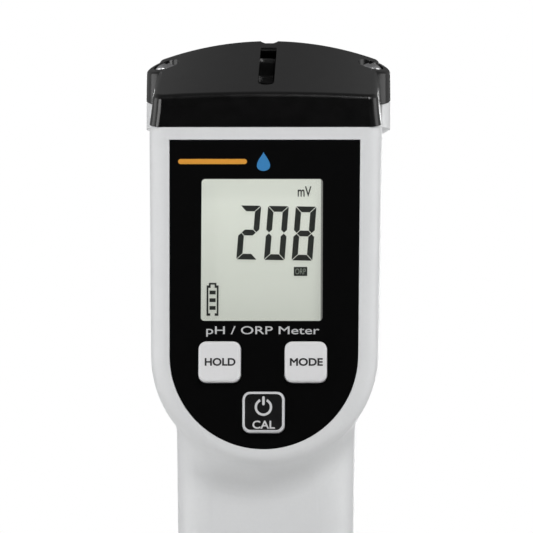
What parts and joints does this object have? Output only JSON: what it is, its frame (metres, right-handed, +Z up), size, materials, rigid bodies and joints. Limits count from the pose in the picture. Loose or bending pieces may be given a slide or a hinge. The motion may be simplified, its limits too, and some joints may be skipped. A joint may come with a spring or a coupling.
{
  "type": "pocket ph meter",
  "caption": "Hand-held pocket pH and ORP meter: white case, display, keys, screwed battery cover, plug-in electrode under a clear protective cap.",
  "frame": {"origin": "centre of the protective cap's flat foot, on the neck's own axis", "axes": "+Z up the handle, the display side faces -Y, +X to the right of someone reading the display"},
  "size_m": [0.0406, 0.0386, 0.1879],
  "materials": {
    "battery_carrier": "satin",
    "battery_contacts": "plated",
    "battery_cover": "fine satin",
    "board_components": "moulded",
    "board_screws": "plain",
    "cap_sponge": "open cell",
    "carrier_contacts": "plated",
    "coin_cells": "brushed",
    "cover_gasket": "matte",
    "cover_screw_left": "bright",
    "cover_screw_right": "bright",
    "display_window": "clear",
    "electrode_body": "satin",
    "electrode_collar": "ribbed",
    "electrode_plug_pins": "gold plated",
    "electrode_seal": "matte",
    "front_housing": "fine satin",
    "front_label": "semi-gloss",
    "glass_bulb": "clear",
    "hold_key": "satin",
    "hold_plunger": "moulded",
    "housing_gasket": "matte",
    "housing_screws": "plain",
    "inner_electrode": "drawn wire",
    "keypad_mat": "matte",
    "lcd_connector": "matte",
    "lcd_frame": "satin",
    "lcd_front_glass": "polished",
    "lcd_rear_glass": "reflector backed",
    "main_board": "solder mask",
    "mode_key": "satin",
    "mode_plunger": "moulded",
    "platinum_ring": "bright",
    "power_key": "satin",
    "power_key_face": "semi-gloss",
    "power_plunger": "moulded",
    "probe_end_plug": "moulded",
    "probe_guard": "moulded",
    "probe_tube": "moulded",
    "protective_cap": "translucent",
    "rear_housing": "fine satin",
    "reference_junction": "porous",
    "screw_seal_left": "matte",
    "screw_seal_right": "matte",
    "sensor_socket": "moulded",
    "signal_cable": "matte",
    "socket_housing": "satin",
    "socket_pins": "gold plated",
    "socket_seal": "matte",
    "switch_bodies": "moulded",
    "temperature_sensor": "plain",
    "threaded_inserts": "knurled"
  },
  "bodies": {
    "case": {"front_housing": "front_housing", "rear_housing": "rear_housing", "housing_gasket": "housing_gasket", "housing_screws": "housing_screws", "threaded_inserts": "threaded_inserts", "front_label": "front_label", "display_window": "display_window", "lcd_front_glass": "lcd_front_glass", "lcd_rear_glass": "lcd_rear_glass", "lcd_frame": "lcd_frame", "lcd_connector": "lcd_connector", "main_board": "main_board", "board_screws": "board_screws", "board_components": "board_components", "switch_bodies": "switch_bodies", "keypad_mat": "keypad_mat", "battery_contacts": "battery_contacts", "signal_cable": "signal_cable", "socket_housing": "socket_housing", "sensor_socket": "sensor_socket", "socket_pins": "socket_pins", "socket_seal": "socket_seal"},
    "hold_button": {"hold_key": "hold_key"},
    "mode_button": {"mode_key": "mode_key"},
    "power_button": {"power_key": "power_key", "power_key_face": "power_key_face"},
    "hold_switch_plunger": {"hold_plunger": "hold_plunger"},
    "mode_switch_plunger": {"mode_plunger": "mode_plunger"},
    "power_switch_plunger": {"power_plunger": "power_plunger"},
    "cover": {"battery_cover": "battery_cover", "cover_gasket": "cover_gasket"},
    "screw_left_carriage": {"screw_seal_left": "screw_seal_left"},
    "screw_left": {"cover_screw_left": "cover_screw_left"},
    "screw_right_carriage": {"screw_seal_right": "screw_seal_right"},
    "screw_right": {"cover_screw_right": "cover_screw_right"},
    "carrier": {"battery_carrier": "battery_carrier", "coin_cells": "coin_cells", "carrier_contacts": "carrier_contacts"},
    "electrode": {"electrode_body": "electrode_body", "electrode_plug_pins": "electrode_plug_pins", "electrode_seal": "electrode_seal", "probe_tube": "probe_tube", "probe_end_plug": "probe_end_plug", "probe_guard": "probe_guard", "glass_bulb": "glass_bulb", "inner_electrode": "inner_electrode", "reference_junction": "reference_junction", "temperature_sensor": "temperature_sensor", "platinum_ring": "platinum_ring"},
    "collar": {"electrode_collar": "electrode_collar"},
    "cap": {"protective_cap": "protective_cap", "cap_sponge": "cap_sponge"}
  },
  "joints": [
    {"name": "hold_press", "type": "slide", "parent": "case", "child": "hold_button", "axis": [0, 0.9903, -0.1392], "range_m": [0, 0.0003], "stiffness_N_per_m": 20, "springref_m": -0.0002},
    {"name": "hold_switch_travel", "type": "slide", "parent": "case", "child": "hold_switch_plunger", "axis": [0, 0.9903, -0.1392], "range_m": [0, 0.00025]},
    {"name": "mode_press", "type": "slide", "parent": "case", "child": "mode_button", "axis": [0, 0.9903, -0.1392], "range_m": [0, 0.0003], "stiffness_N_per_m": 20, "springref_m": -0.0002},
    {"name": "mode_switch_travel", "type": "slide", "parent": "case", "child": "mode_switch_plunger", "axis": [0, 0.9903, -0.1392], "range_m": [0, 0.00025]},
    {"name": "power_press", "type": "slide", "parent": "case", "child": "power_button", "axis": [0, 0.9903, -0.1392], "range_m": [0, 0.0003], "stiffness_N_per_m": 20, "springref_m": -0.0002},
    {"name": "power_switch_travel", "type": "slide", "parent": "case", "child": "power_switch_plunger", "axis": [0, 0.9903, -0.1392], "range_m": [0, 0.00025]},
    {"name": "cover_lift", "type": "slide", "parent": "case", "child": "cover", "axis": [0, 0.1392, 0.9903], "range_m": [0, 0.06]},
    {"name": "carrier_lift", "type": "slide", "parent": "case", "child": "carrier", "axis": [0, 0.1392, 0.9903], "range_m": [0, 0.035]},
    {"name": "screw_left_rise", "type": "slide", "parent": "cover", "child": "screw_left_carriage", "axis": [0, 0.1392, 0.9903], "range_m": [0, 0.0024]},
    {"name": "screw_left_turn", "type": "hinge", "parent": "screw_left_carriage", "child": "screw_left", "pos_m": [-0.017, 0.00853, 0.17799], "axis": [0, 0.1392, 0.9903], "range_deg": [0, 2160]},
    {"name": "screw_right_rise", "type": "slide", "parent": "cover", "child": "screw_right_carriage", "axis": [0, 0.1392, 0.9903], "range_m": [0, 0.0024]},
    {"name": "screw_right_turn", "type": "hinge", "parent": "screw_right_carriage", "child": "screw_right", "pos_m": [0.017, 0.00853, 0.17799], "axis": [0, 0.1392, 0.9903], "range_deg": [0, 2160]},
    {"name": "electrode_drop", "type": "slide", "parent": "case", "child": "electrode", "axis": [0, 0, -1], "range_m": [0, 0.016]},
    {"name": "collar_turn", "type": "hinge", "parent": "electrode", "child": "collar", "pos_m": [0, 0, 0.065], "axis": [0, 0, 1], "range_deg": [0, 1440]},
    {"name": "cap_pull", "type": "slide", "parent": "electrode", "child": "cap", "axis": [0, 0, -1], "range_m": [0, 0.055]}
  ],
  "couplings": [
    {"joint": "hold_switch_travel", "follows": "hold_press", "ratio": 0.8333},
    {"joint": "mode_switch_travel", "follows": "mode_press", "ratio": 0.8333},
    {"joint": "power_switch_travel", "follows": "power_press", "ratio": 0.8333},
    {"joint": "carrier_lift", "follows": "cover_lift", "ratio": 0.5833},
    {"joint": "screw_left_turn", "follows": "screw_left_rise", "rad_per_m": 15706},
    {"joint": "screw_right_turn", "follows": "screw_right_rise", "rad_per_m": 15706},
    {"joint": "collar_turn", "follows": "electrode_drop", "rad_per_m": 1570.6}
  ]
}
